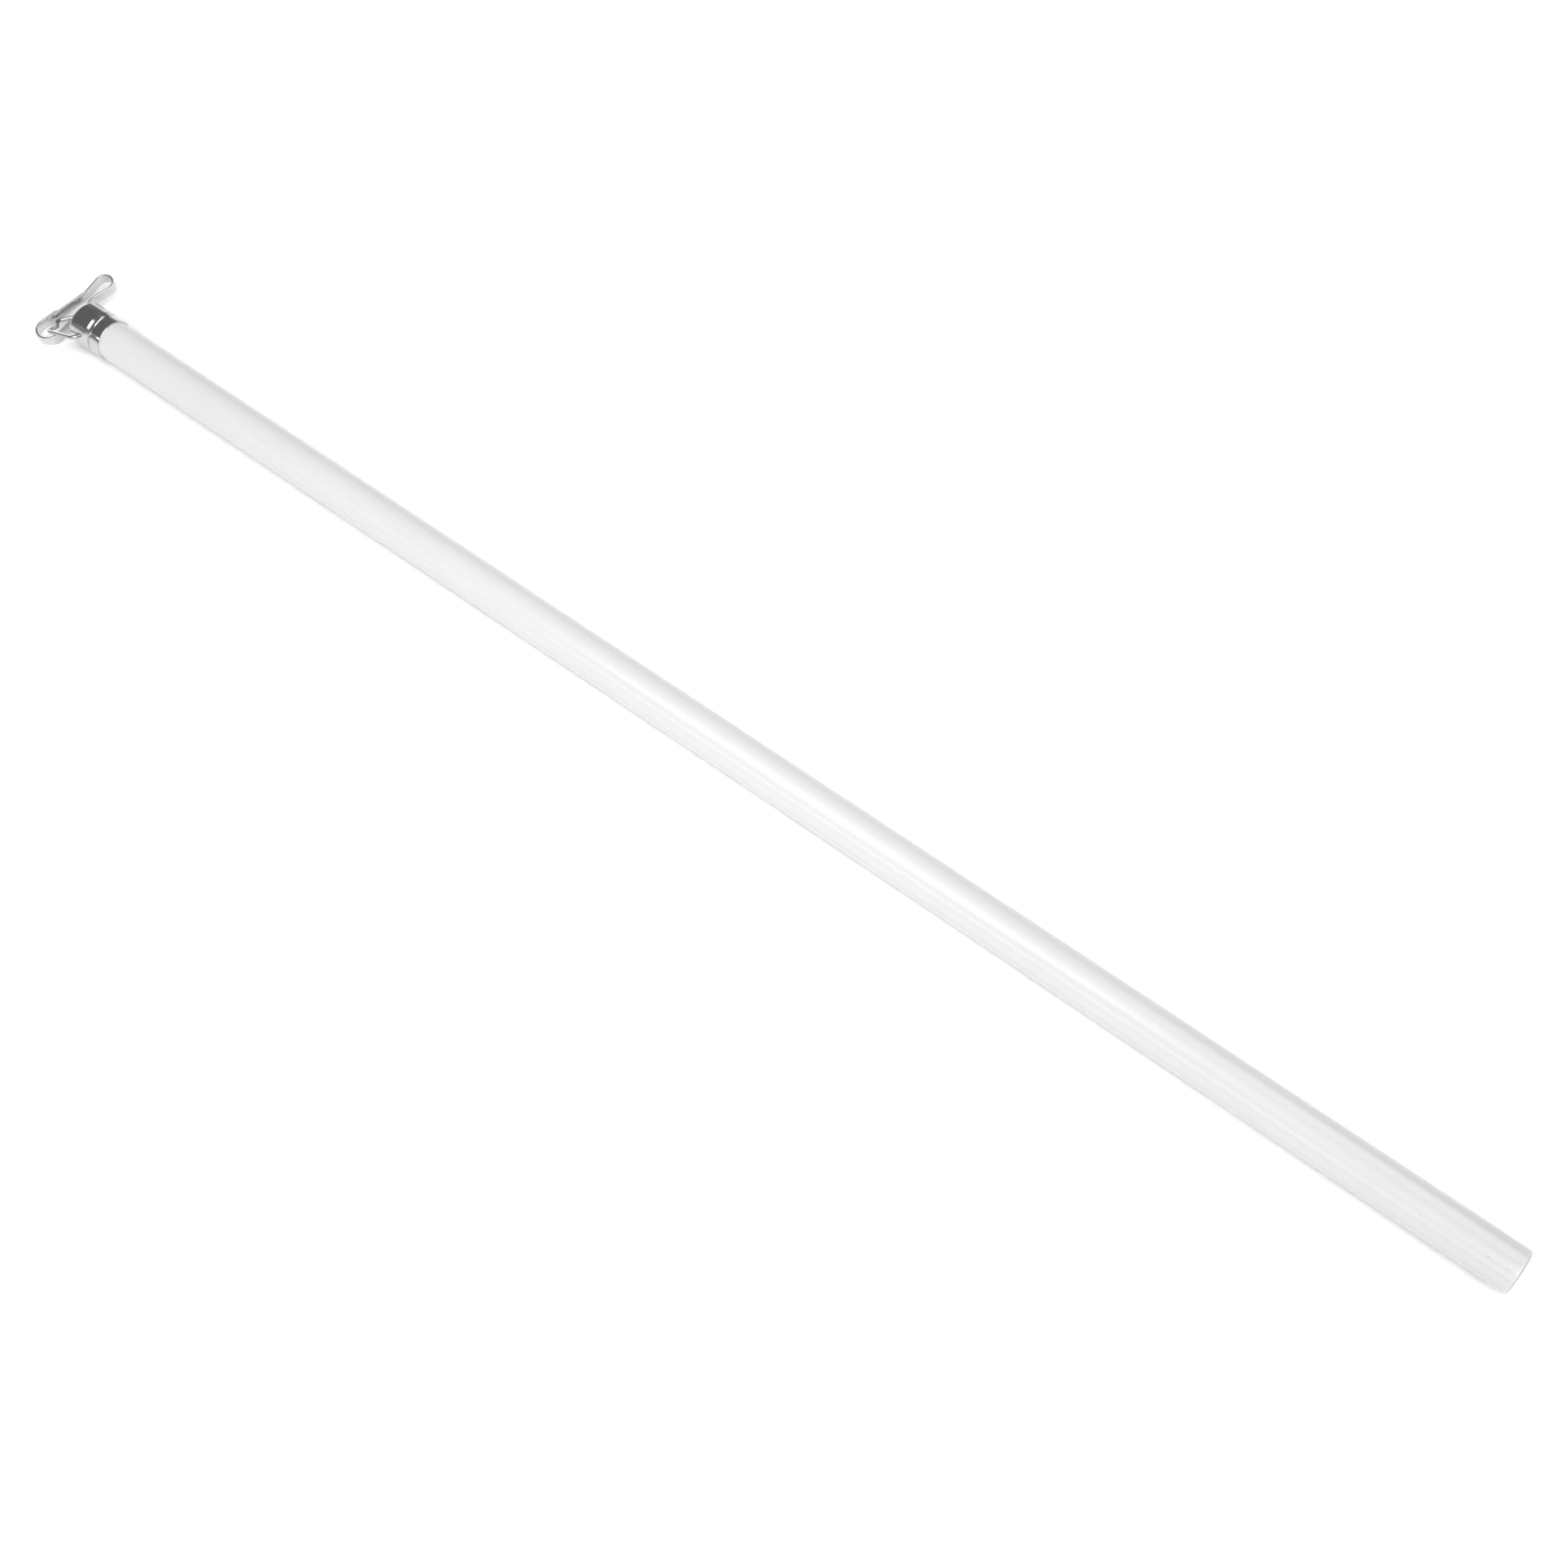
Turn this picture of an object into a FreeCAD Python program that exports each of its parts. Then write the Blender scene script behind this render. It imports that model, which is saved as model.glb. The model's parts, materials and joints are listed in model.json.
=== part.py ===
import FreeCAD, Part
import math
import os

# Curtain wand: a round white rod with a drawn metal ferrule on its head. A wire bail turns in two
# holes of the ferrule, and a spring-steel strip clip hangs loose in the bail.
# Millimetres, +Z up. The wand lies on its ferrule, with its axis along X and the tail towards +X.
# The finished pieces are moved together so that the origin is the middle of the footprint.

Vector = FreeCAD.Vector
Rotation = FreeCAD.Rotation
Placement = FreeCAD.Placement

X_AXIS = Vector(1, 0, 0)
Z_AXIS = Vector(0, 0, 1)

# Rod
ROD_DIAMETER = 12.0
ROD_LENGTH = 474.0
TAIL_ROUND = 0.8

# Ferrule, measured along the axis from its closed face
FERRULE_WALL = 0.5
SKIRT_WALL = 0.3
ROD_CLEARANCE = 0.03
BARREL_LENGTH = 7.0
GROOVE_LENGTH = 2.1
GROOVE_DEPTH = 0.56
GROOVE_STEP = 0.5
SKIRT_LENGTH = 3.6
FACE_ROUND = 0.9
ROD_LIP = 1.0

# Bail, measured from its pivot axis
WIRE_DIAMETER = 1.2
PIVOT_FROM_FACE = 4.4
PIVOT_CLEARANCE = 0.05
PIN_REACH = 1.2
ARM_CLEARANCE = 1.1
SHOULDER_REACH = 12.4
NECK_HALF_WIDTH = 4.6
NOSE_REACH = 15.9
NOSE_LEAN = 1.4
ROOT_BEND = 1.6
SHOULDER_BEND = 1.3
NECK_BEND = 1.0
NOSE_BEND = 1.3
BAIL_ROLL = 17.0
DROOP_STEPS = 20

# Clip, measured along its own axis from the large end
STRIP_WIDTH = 3.2
STRIP_THICKNESS = 0.5
CLIP_LENGTH = 29.0
LARGE_RADIUS = 3.85
SMALL_RADIUS = 2.8
WAIST_FROM_END = 20.0
WAIST_GAP = 3.1
WAIST_BEND = 1.2
LAP_CLEARANCE = 0.1
GATE_END = 6.0
CATCH_END = 9.6
STRAND_TURN = -3.0
STRAND_CROSSING = 10.9
STRAND_CLEARANCE = 0.5

# Play left where one piece rests on another or on the ground
REST_CLEARANCE = 0.7
GROUND_CLEARANCE = 0.02

# Sizes that follow from the values above
rod_radius = ROD_DIAMETER / 2
wire_radius = WIRE_DIAMETER / 2
bore_radius = rod_radius + ROD_CLEARANCE
barrel_radius = bore_radius + FERRULE_WALL
skirt_radius = bore_radius + SKIRT_WALL
groove_start = BARREL_LENGTH
groove_end = BARREL_LENGTH + GROOVE_LENGTH
ferrule_length = groove_end + SKIRT_LENGTH
rod_start = groove_start - ROD_LIP
rod_end = rod_start + ROD_LENGTH
axis_height = barrel_radius
pivot = Vector(PIVOT_FROM_FACE, 0, axis_height)


def arc(start, middle, end):
    """Arc edge through three points."""
    return Part.Arc(start, middle, end).toShape()


def line(start, end):
    """Straight edge between two points."""
    return Part.LineSegment(start, end).toShape()


def rounded_path(points, radii):
    """Edges of a chain of straight runs, each inner corner rounded with a tangent arc of its radius."""
    edges = []
    start = points[0]
    for before, corner, after, radius in zip(points, points[1:], points[2:], radii):
        back = (before - corner).normalize()
        ahead = (after - corner).normalize()
        half_angle = back.getAngle(ahead) / 2
        setback = radius / math.tan(half_angle)
        bisector = (back + ahead).normalize()
        middle = corner + bisector * (radius / math.sin(half_angle) - radius)
        edges.append(line(start, corner + back * setback))
        edges.append(arc(corner + back * setback, middle, corner + ahead * setback))
        start = corner + ahead * setback
    edges.append(line(start, points[-1]))
    return edges


def sweep(edges, section):
    """Solid of a closed section carried along a smooth chain of edges."""
    return Part.Wire(edges).makePipeShell([section], True, False)


def groove_outside(start, end):
    """Outside of the rolled groove in the profile plane: a steep step, then a parabola that rises to the skirt."""
    foot = start + Vector(GROOVE_STEP, 0, -GROOVE_DEPTH)
    rise = Part.BezierCurve()
    rise.setPoles([foot, Vector((foot.x + end.x) / 2, 0, foot.z), end])
    return [line(start, foot), rise.toShape()]


def groove_inside(start, end):
    """Hidden side of the rolled groove in the profile plane: the same step, then a straight flank."""
    valley = start + Vector(GROOVE_STEP, 0, -GROOVE_DEPTH)
    return [line(start, valley), line(valley, end)]


def revolve(edges):
    """Solid of revolution of a closed profile about the rod's axis, which is raised to its height."""
    face = Part.Face(Part.Wire(edges))
    solid = face.revolve(Vector(0, 0, 0), X_AXIS, 360)
    return solid.translated(Vector(0, 0, axis_height))


def make_rod():
    """Solid rod with a rounded tail edge and the groove that the ferrule is rolled into."""
    in_start = Vector(groove_start, 0, rod_radius)
    in_end = Vector(groove_end, 0, rod_radius)
    tail_edge = Vector(rod_end - TAIL_ROUND, 0, rod_radius)
    tail_face = Vector(rod_end, 0, rod_radius - TAIL_ROUND)
    tail_middle = Vector(rod_end - TAIL_ROUND, 0, rod_radius - TAIL_ROUND)
    tail_middle += Vector(1, 0, 1).normalize() * TAIL_ROUND
    edges = [
        line(Vector(rod_start, 0, 0), Vector(rod_start, 0, rod_radius)),
        line(Vector(rod_start, 0, rod_radius), in_start),
        *groove_inside(in_start, in_end),
        line(in_end, tail_edge),
        arc(tail_edge, tail_middle, tail_face),
        line(tail_face, Vector(rod_end, 0, 0)),
        line(Vector(rod_end, 0, 0), Vector(rod_start, 0, 0)),
    ]
    return revolve(edges)


def make_ferrule():
    """Drawn cup with a closed face, an eased edge, a rolled groove, a thin skirt and two pivot holes."""
    face_edge = Vector(0, 0, barrel_radius - FACE_ROUND)
    barrel_edge = Vector(FACE_ROUND, 0, barrel_radius)
    face_middle = Vector(FACE_ROUND, 0, barrel_radius - FACE_ROUND)
    face_middle += Vector(-1, 0, 1).normalize() * FACE_ROUND
    out_start = Vector(groove_start, 0, barrel_radius)
    out_end = Vector(groove_end, 0, skirt_radius)
    in_start = Vector(groove_start, 0, bore_radius)
    in_end = Vector(groove_end, 0, bore_radius)
    rim_out = Vector(ferrule_length, 0, skirt_radius)
    rim_in = Vector(ferrule_length, 0, bore_radius)
    corner = Vector(FERRULE_WALL, 0, bore_radius)
    centre_in = Vector(FERRULE_WALL, 0, 0)
    centre_out = Vector(0, 0, 0)
    edges = [
        line(centre_out, face_edge),
        line(face_edge, face_middle),
        line(face_middle, barrel_edge),
        line(barrel_edge, out_start),
        *groove_outside(out_start, out_end),
        line(out_end, rim_out),
        line(rim_out, rim_in),
        line(rim_in, in_end),
        *reversed(groove_inside(in_start, in_end)),
        line(in_start, corner),
        line(corner, centre_in),
        line(centre_in, centre_out),
    ]
    hole_radius = wire_radius + PIVOT_CLEARANCE
    hole = Part.makeCylinder(hole_radius, 2 * ROD_DIAMETER, pivot - across * ROD_DIAMETER, across)
    return revolve(edges).cut(hole)


# Bail: its plane holds the pivot axis, which is rolled about the rod, and droops until the far
# shoulder of the wire meets the ground
roll = math.radians(BAIL_ROLL)
across = Vector(0, -math.cos(roll), math.sin(roll))
sideways = Vector(0, -math.sin(roll), -math.cos(roll))
arm_offset = barrel_radius + ARM_CLEARANCE + wire_radius
bend_drop = axis_height - (arm_offset - SHOULDER_BEND) * math.sin(roll) - wire_radius - GROUND_CLEARANCE
bend_reach = SHOULDER_REACH - SHOULDER_BEND
droop = 0
for step in range(DROOP_STEPS):
    steepness = math.hypot(math.sin(droop) * math.cos(roll), math.sin(roll))
    droop = math.asin((bend_drop - SHOULDER_BEND * steepness) / (bend_reach * math.cos(roll)))
along = X_AXIS * -math.cos(droop) + sideways * math.sin(droop)


def bail_point(reach, offset):
    """Point of the bail's plane: reach ahead of the pivot axis, offset along it to the near side."""
    return pivot + along * reach + across * offset


def make_bail():
    """Bent wire: two inturned pins, arms beside the ferrule, shoulders and a narrow nose."""
    pin_end = barrel_radius - FERRULE_WALL - PIN_REACH
    flank_angle = math.atan2(NECK_HALF_WIDTH, NOSE_REACH - SHOULDER_REACH)
    nose_vertex = NOSE_REACH + NOSE_BEND * (1 / math.sin(flank_angle) - 1)
    points = [
        bail_point(0, pin_end),
        bail_point(0, arm_offset),
        bail_point(SHOULDER_REACH, arm_offset),
        bail_point(SHOULDER_REACH, NECK_HALF_WIDTH),
        bail_point(nose_vertex, NOSE_LEAN),
        bail_point(SHOULDER_REACH, -NECK_HALF_WIDTH),
        bail_point(SHOULDER_REACH, -arm_offset),
        bail_point(0, -arm_offset),
        bail_point(0, -pin_end),
    ]
    radii = [ROOT_BEND, SHOULDER_BEND, NECK_BEND, NOSE_BEND, NECK_BEND, SHOULDER_BEND, ROOT_BEND]
    section = Part.Wire(Part.makeCircle(wire_radius, points[0], across))
    return sweep(rounded_path(points, radii), section)


def tangent_point(point, centre, radius, side):
    """Where a tangent from a point meets a circle, side +1 or -1 of the line from centre to point."""
    reach = centre - point
    distance = reach.Length
    turn = side * math.acos(radius / distance)
    back = Rotation(Z_AXIS, math.degrees(turn)).multVec(reach.normalize() * -1)
    return centre + back * radius


# Clip outline in its own plane: u along its axis from the large end, v towards the gate
lap = STRIP_THICKNESS + LAP_CLEARANCE
large_centre = Vector(LARGE_RADIUS, 0, 0)
waist_half = (WAIST_GAP + STRIP_THICKNESS + lap) / 2
waist_near = Vector(WAIST_FROM_END, -waist_half, 0)
large_near = tangent_point(waist_near, large_centre, LARGE_RADIUS, -1)
large_far = Vector(large_near.x, -large_near.y, 0)
taper = math.atan2(waist_near.y - large_near.y, waist_near.x - large_near.x)
gate_direction = Vector(math.cos(taper), -math.sin(taper), 0)
gate_inset = Vector(-math.sin(taper), -math.cos(taper), 0) * lap


def on_far_side(distance, inset):
    """Point of the far strand at a distance along the clip's axis, moved inwards by the inset."""
    run = (distance - large_far.x) / math.cos(taper)
    return large_far + gate_direction * run + inset


waist_far = on_far_side(WAIST_FROM_END, gate_inset)
small_from_waist = CLIP_LENGTH - STRIP_THICKNESS - SMALL_RADIUS - WAIST_FROM_END
small_centre = (waist_far + waist_near) / 2 + X_AXIS * small_from_waist


def make_clip_outline():
    """Edges of the strip's middle line, from the gate's free end round to the catch that laps it."""
    no_inset = Vector(0, 0, 0)
    gate_tip = on_far_side(GATE_END, gate_inset)
    catch_tip = on_far_side(CATCH_END, no_inset)
    small_far = tangent_point(waist_far, small_centre, SMALL_RADIUS, -1)
    small_near = tangent_point(waist_near, small_centre, SMALL_RADIUS, 1)
    small_end = small_centre + X_AXIS * SMALL_RADIUS
    edges = rounded_path([gate_tip, waist_far, small_far], [WAIST_BEND])
    edges.append(arc(small_far, small_end, small_near))
    edges += rounded_path([small_near, waist_near, large_near], [WAIST_BEND])
    edges.append(arc(large_near, Vector(0, 0, 0), large_far))
    edges.append(line(large_far, catch_tip))
    return edges, gate_tip


# Place of the clip: its near strand runs through the bail between the ferrule and the shoulders, lies
# on the far arm, and its large end is on the ground
shoulder_x = pivot.x - SHOULDER_REACH * math.cos(droop)
strand_x = shoulder_x + wire_radius + STRAND_CLEARANCE + STRIP_THICKNESS / 2
far_arm = bail_point((pivot.x - strand_x) / math.cos(droop), -arm_offset)
axis_turn = STRAND_TURN + math.degrees(taper)
strand_point = large_near + Vector(math.cos(taper), math.sin(taper), 0) * (STRAND_CROSSING - large_near.x)
in_plane = Rotation(Z_AXIS, 90 - axis_turn)
end_distance = in_plane.multVec(strand_point).y + STRIP_THICKNESS / 2
support_height = far_arm.z + wire_radius + REST_CLEARANCE
lean = math.asin(support_height / (far_arm.y + end_distance))
clip_rotation = Rotation(X_AXIS, math.degrees(lean)) * in_plane
strand_place = Vector(strand_x, 0, end_distance * math.sin(lean) + GROUND_CLEARANCE)
clip_placement = Placement(strand_place - clip_rotation.multVec(strand_point), clip_rotation)


def make_clip():
    """Spring-steel strip on edge, bent round two lobes with a waist between them."""
    edges, gate_tip = make_clip_outline()
    side = Vector(gate_direction.y, -gate_direction.x, 0) * (STRIP_THICKNESS / 2)
    rise = Z_AXIS * STRIP_WIDTH
    corners = [gate_tip - side, gate_tip + side, gate_tip + side + rise, gate_tip - side + rise]
    section = Part.makePolygon(corners + corners[:1])
    clip = sweep(edges, section)
    clip.Placement = clip_placement
    return clip


pieces = {
    "rod": make_rod(),
    "ferrule": make_ferrule(),
    "bail": make_bail(),
    "clip": make_clip(),
}

# The origin is the middle of the footprint, on the ground
box = Part.makeCompound(list(pieces.values())).optimalBoundingBox()
shift = Vector(-box.Center.x, -box.Center.y, 0)

os.makedirs("parts", exist_ok=True)
for name, shape in pieces.items():
    placed = shape.translated(shift)
    placed.exportStep("parts/" + name + ".step")
    print(name, "valid", placed.isValid(), "solids", len(placed.Solids), "volume", round(placed.Volume, 2))

strand_axis = clip_rotation.multVec(Vector(math.cos(taper), math.sin(taper), 0))
print("size", [round(v, 3) for v in (box.XLength, box.YLength, box.ZLength)], "lowest", round(box.ZMin, 4))
print("bail pivot", list(pivot + shift), "axis", list(across), "droop", math.degrees(droop))
print("clip strand", list(strand_place + shift), "axis", list(strand_axis), "lean", math.degrees(lean))
hook_middle = clip_placement.multVec(small_centre + Z_AXIS * (STRIP_WIDTH / 2))
hook_axis = clip_rotation.multVec(Z_AXIS)
print("hook", list(hook_middle + shift), "axis", list(hook_axis), "radius", SMALL_RADIUS - STRIP_THICKNESS / 2)
print("shift", list(shift))
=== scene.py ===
# %% [markdown]
# # A curtain wand, dressed for its picture
# The wand is a long white rod with a drawn metal ferrule on its head. A bent wire bail turns in two holes of
# the ferrule, and a springy strip clip hangs in the bail, ready to hook onto a curtain carrier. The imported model
# gives the frame: it says where each piece is and how it moves. This lesson skins each piece with a finer
# surface, gives each its finish, and sets up a bright studio table.

# %% Load the frame
import json
import math
import bpy
import mathutils
import numpy as np
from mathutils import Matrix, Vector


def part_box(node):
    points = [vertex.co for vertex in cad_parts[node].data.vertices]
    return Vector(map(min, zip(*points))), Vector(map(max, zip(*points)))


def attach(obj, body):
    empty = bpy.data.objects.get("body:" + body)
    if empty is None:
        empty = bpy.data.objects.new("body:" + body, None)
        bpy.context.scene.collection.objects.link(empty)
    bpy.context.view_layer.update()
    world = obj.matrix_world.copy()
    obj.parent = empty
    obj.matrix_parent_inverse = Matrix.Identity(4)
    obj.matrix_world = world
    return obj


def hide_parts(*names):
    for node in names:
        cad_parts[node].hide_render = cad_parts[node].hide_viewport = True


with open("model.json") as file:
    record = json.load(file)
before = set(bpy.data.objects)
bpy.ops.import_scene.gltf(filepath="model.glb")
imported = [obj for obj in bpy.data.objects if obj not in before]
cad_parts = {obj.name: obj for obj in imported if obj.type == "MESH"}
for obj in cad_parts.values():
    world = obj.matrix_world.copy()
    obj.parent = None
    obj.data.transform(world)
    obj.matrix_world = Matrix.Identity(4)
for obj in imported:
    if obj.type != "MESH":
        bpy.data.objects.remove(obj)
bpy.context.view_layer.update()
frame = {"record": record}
record = frame["record"]
MM = 0.001

# %% [markdown]
# ## Places from the record
# A skin must sit exactly where its solid is. Places that follow from many measures, such as the pivot of the bail,
# are read from the record, so they can't drift apart. The plain measures of each piece are repeated in its own
# cell, in millimetres. Along the wand, everything is measured from the ferrule's closed face.

# %% Places
PIVOT_FROM_FACE = 4.4
joints = {joint["name"]: joint for joint in record["behaviour"]["joints"]}
pivot = np.array(joints["bail_swing"]["pos_m"]) / MM
across = np.array(joints["bail_swing"]["axis"])
face_centre = pivot - [PIVOT_FROM_FACE, 0, 0]
print("pivot", pivot.round(3), "closed face", face_centre.round(3))

# %% [markdown]
# ## Skins from rings
# Every piece here is long and has one section, so one helper serves them all: a stack of rings, joined by quads,
# with a fan of triangles to a point at each end. The rings are one numpy array, so no loop visits a vertex. Edges
# sharper than a set angle stay crisp and the rest is shaded smooth.

# %% Ring skin helper
CRISP_ANGLE = 40.0


def skin(name, rings, first, last, crisp=CRISP_ANGLE, open_quads=None, hole_walls=()):
    """Closed mesh of rings[row, around] in millimetres; each quad joins a point to the next one round the ring
    and to the same two points of the next ring, and each end ring is closed by a fan to its end point. Quads
    marked open are left out, the walls of their holes are added, and points that no face uses are dropped."""
    rows, columns = rings.shape[:2]
    number = np.arange(rows * columns).reshape(rows, columns)
    after = np.roll(number, -1, axis=1)
    sides = np.stack([number[:-1], after[:-1], after[1:], number[1:]], axis=-1)
    sides = sides.reshape(-1, 4) if open_quads is None else sides[~open_quads]
    head = np.stack([np.full(columns, number.size), after[0], number[0]], axis=-1)
    tail = np.stack([np.full(columns, number.size + 1), number[-1], after[-1]], axis=-1)
    faces = [sides, head, tail, *hole_walls]
    used, packed = np.unique(np.concatenate([f.ravel() for f in faces]), return_inverse=True)
    ends = np.cumsum([f.size for f in faces])[:-1]
    faces = [part.reshape(f.shape).tolist() for part, f in zip(np.split(packed, ends), faces)]
    points = np.concatenate([rings.reshape(-1, 3), [first, last]])[used] * MM
    mesh = bpy.data.meshes.new(name)
    mesh.from_pydata(points.tolist(), [], sum(faces, []))
    mesh.shade_smooth()
    mesh.set_sharp_from_angle(angle=math.radians(crisp))
    mesh.validate()
    piece = bpy.data.objects.new(name, mesh)
    bpy.context.collection.objects.link(piece)
    print(name, "rings", rows, "round", columns, "faces", len(mesh.polygons))
    return piece

# %% [markdown]
# The rod and the ferrule are turned shapes. A turner draws half of the outline, as distance along the axis and
# radius, and the lathe carries it round. These helpers do the same with arrays.

# %% Turning helpers
def around_axis(x, r, angle):
    """Points (x, r cos a, r sin a) about the wand's axis, measured along it from the closed face."""
    return np.stack(np.broadcast_arrays(x, r * np.cos(angle), r * np.sin(angle)), axis=-1) + face_centre


def turned_rings(profile, segments, start=0.0):
    """Rings of a surface of revolution: each profile point (x, r) is carried round the axis from the start."""
    angle = start + np.linspace(0, 2 * np.pi, segments, endpoint=False)
    x, r = np.array(profile, dtype=float).T
    return around_axis(x[:, None], r[:, None], angle)


def quarter(centre_x, centre_r, radius, start, end, count):
    """Profile points of a round: centre plus radius times (cos a, sin a), for a from start to end in degrees."""
    a = np.radians(np.linspace(start, end, count))
    return np.stack([centre_x + radius * np.cos(a), centre_r + radius * np.sin(a)], axis=-1)


print("a round of radius 1, in three points", quarter(0, 0, 1, 90, 0, 3).round(2).tolist())

# %% [markdown]
# ## The rod
# The real rod is a straight white stick, extruded or pultruded and cut to length, with its tail edge eased. One
# lathe profile gives it: the hidden head under the ferrule, the rolled groove, the long plain run and the round of
# the tail. The run gets many rings so that its shading stays even over half a metre.

# %% Rod
ROD_RADIUS = 6.0
ROD_LENGTH = 474.0
ROD_LIP = 1.0
TAIL_ROUND = 0.8
TAIL_POINTS = 10
BARREL_LENGTH = 7.0
GROOVE_LENGTH = 2.1
GROOVE_STEP = 0.5
GROOVE_DEPTH = 0.56
RUN_RINGS = 120
RUN_MARGIN = 1.0
END_RING_SHARE = 0.4
ROD_SEGMENTS = 128

rod_start = BARREL_LENGTH - ROD_LIP
rod_end = rod_start + ROD_LENGTH
groove_foot = BARREL_LENGTH + GROOVE_STEP
groove_end = BARREL_LENGTH + GROOVE_LENGTH
run_x = np.linspace(groove_end + RUN_MARGIN, rod_end - TAIL_ROUND - RUN_MARGIN, RUN_RINGS)
rod_profile = np.concatenate([
    [[rod_start, 0], [rod_start, ROD_RADIUS], [BARREL_LENGTH, ROD_RADIUS]],
    [[groove_foot, ROD_RADIUS - GROOVE_DEPTH], [groove_end, ROD_RADIUS]],
    np.stack([run_x, np.full(RUN_RINGS, ROD_RADIUS)], axis=-1),
    quarter(rod_end - TAIL_ROUND, ROD_RADIUS - TAIL_ROUND, TAIL_ROUND, 90, 0, TAIL_POINTS),
    [[rod_end, ROD_RADIUS * END_RING_SHARE], [rod_end, 0]],
])
rod_rings = turned_rings(rod_profile, ROD_SEGMENTS)
rod = skin("white_rod", rod_rings[1:-1], rod_rings[0, 0], rod_rings[-1, 0])

# %% [markdown]
# ## The ferrule
# A ferrule like this is drawn from thin sheet into a cup, pushed over the rod and rolled, and the roller leaves a
# groove that grips the rod. The photo shows how the groove is shaped: a thin dark line beside the barrel, then
# light that grows up to a crisp edge. So the outside profile steps down steeply from the barrel and rises in a slow
# hollow to the thin skirt.

# %% Groove of the ferrule
ROD_CLEARANCE = 0.03
FERRULE_WALL = 0.5
SKIRT_WALL = 0.3
HOLLOW_POINTS = 17
bore_radius = ROD_RADIUS + ROD_CLEARANCE
barrel_radius = bore_radius + FERRULE_WALL
skirt_radius = bore_radius + SKIRT_WALL
foot_radius = barrel_radius - GROOVE_DEPTH
hollow = np.linspace(0, 1, HOLLOW_POINTS)
hollow_x = groove_foot + hollow * (groove_end - groove_foot)
hollow_line = np.stack([hollow_x, foot_radius + hollow ** 2 * (skirt_radius - foot_radius)], axis=-1)
print("radius of barrel, groove foot and skirt", np.round([barrel_radius, foot_radius, skirt_radius], 2))

# %% [markdown]
# The whole profile runs from the middle of the closed face, over its round edge, along the barrel, through the
# groove and over the skirt. It turns round the rim and comes back inside, so the wall has its real thickness. Where
# the pivot holes will be, inside and outside get the same close rows.

# %% Ferrule profile
SKIRT_LENGTH = 3.6
FACE_ROUND = 0.9
FACE_SHARES = (0.0, 0.3, 0.6)
FACE_POINTS = 14
RIM_POINTS = 15
HOLE_MARGIN = 1.28
HOLE_STEPS = 6

ferrule_length = groove_end + SKIRT_LENGTH
rim_round = SKIRT_WALL / 2
steps = np.arange(-HOLE_STEPS, HOLE_STEPS + 1)
block_x = PIVOT_FROM_FACE + steps * HOLE_MARGIN / HOLE_STEPS
outside_head = np.concatenate([
    [[0, barrel_radius * share] for share in FACE_SHARES],
    quarter(FACE_ROUND, barrel_radius - FACE_ROUND, FACE_ROUND, 180, 90, FACE_POINTS),
])
outside_block = np.stack([block_x, np.full(block_x.size, barrel_radius)], axis=-1)
outside_tail = np.concatenate([
    [[BARREL_LENGTH, barrel_radius]],
    hollow_line,
    [[groove_end + SKIRT_LENGTH / 2, skirt_radius]],
    quarter(ferrule_length - rim_round, skirt_radius - rim_round, rim_round, 90, -90, RIM_POINTS),
    [[groove_end, bore_radius], [groove_foot, bore_radius - GROOVE_DEPTH], [BARREL_LENGTH, bore_radius]],
])
inside_block = np.stack([block_x[::-1], np.full(block_x.size, bore_radius)], axis=-1)
inside_head = [[FERRULE_WALL, bore_radius], [FERRULE_WALL, 0]]
ferrule_profile = np.concatenate([outside_head, outside_block, outside_tail, inside_block, inside_head])
print("profile points of the ferrule", len(ferrule_profile))

# %% [markdown]
# The two pivot holes are made in the grid itself, because a cut afterwards would leave long thin faces that show in
# a mirror finish. Round each hole a square block of the grid is pulled onto the hole's circle, the quads inside the
# circle are left out, and a short wall joins the outside to the inside.

# %% Hole block helper
WIRE_RADIUS = 0.6
HOLE_CLEARANCE = 0.05
HOLE_CORE = 3
FERRULE_SEGMENTS = 192
hole_radius = WIRE_RADIUS + HOLE_CLEARANCE


def hole_block(radius, start):
    """Grid block round a hole: at its outer square a point stays, at its core square it lies on the hole's circle,
    and between them it moves evenly from one to the other. Sideways distances become angles about the axis."""
    i, j = np.meshgrid(steps, steps, indexing="ij")
    level = np.maximum(np.abs(i), np.abs(j))
    flat = np.stack([i * HOLE_MARGIN / HOLE_STEPS, radius * np.sin(j * 2 * np.pi / FERRULE_SEGMENTS)], axis=-1)
    circle = np.stack([i, j], axis=-1) / np.maximum(np.hypot(i, j), 1)[..., None] * hole_radius
    pull = np.clip((HOLE_STEPS - level) / (HOLE_STEPS - HOLE_CORE), 0, 1)[..., None]
    along_axis, sideways = np.moveaxis(flat * (1 - pull) + circle * pull, -1, 0)
    return around_axis(PIVOT_FROM_FACE + along_axis, radius, start + np.arcsin(sideways / radius))


hole_angle = math.atan2(across[2], across[1])
print("pivot holes of radius", hole_radius, "turned by", round(math.degrees(hole_angle), 2), "degrees")

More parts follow.
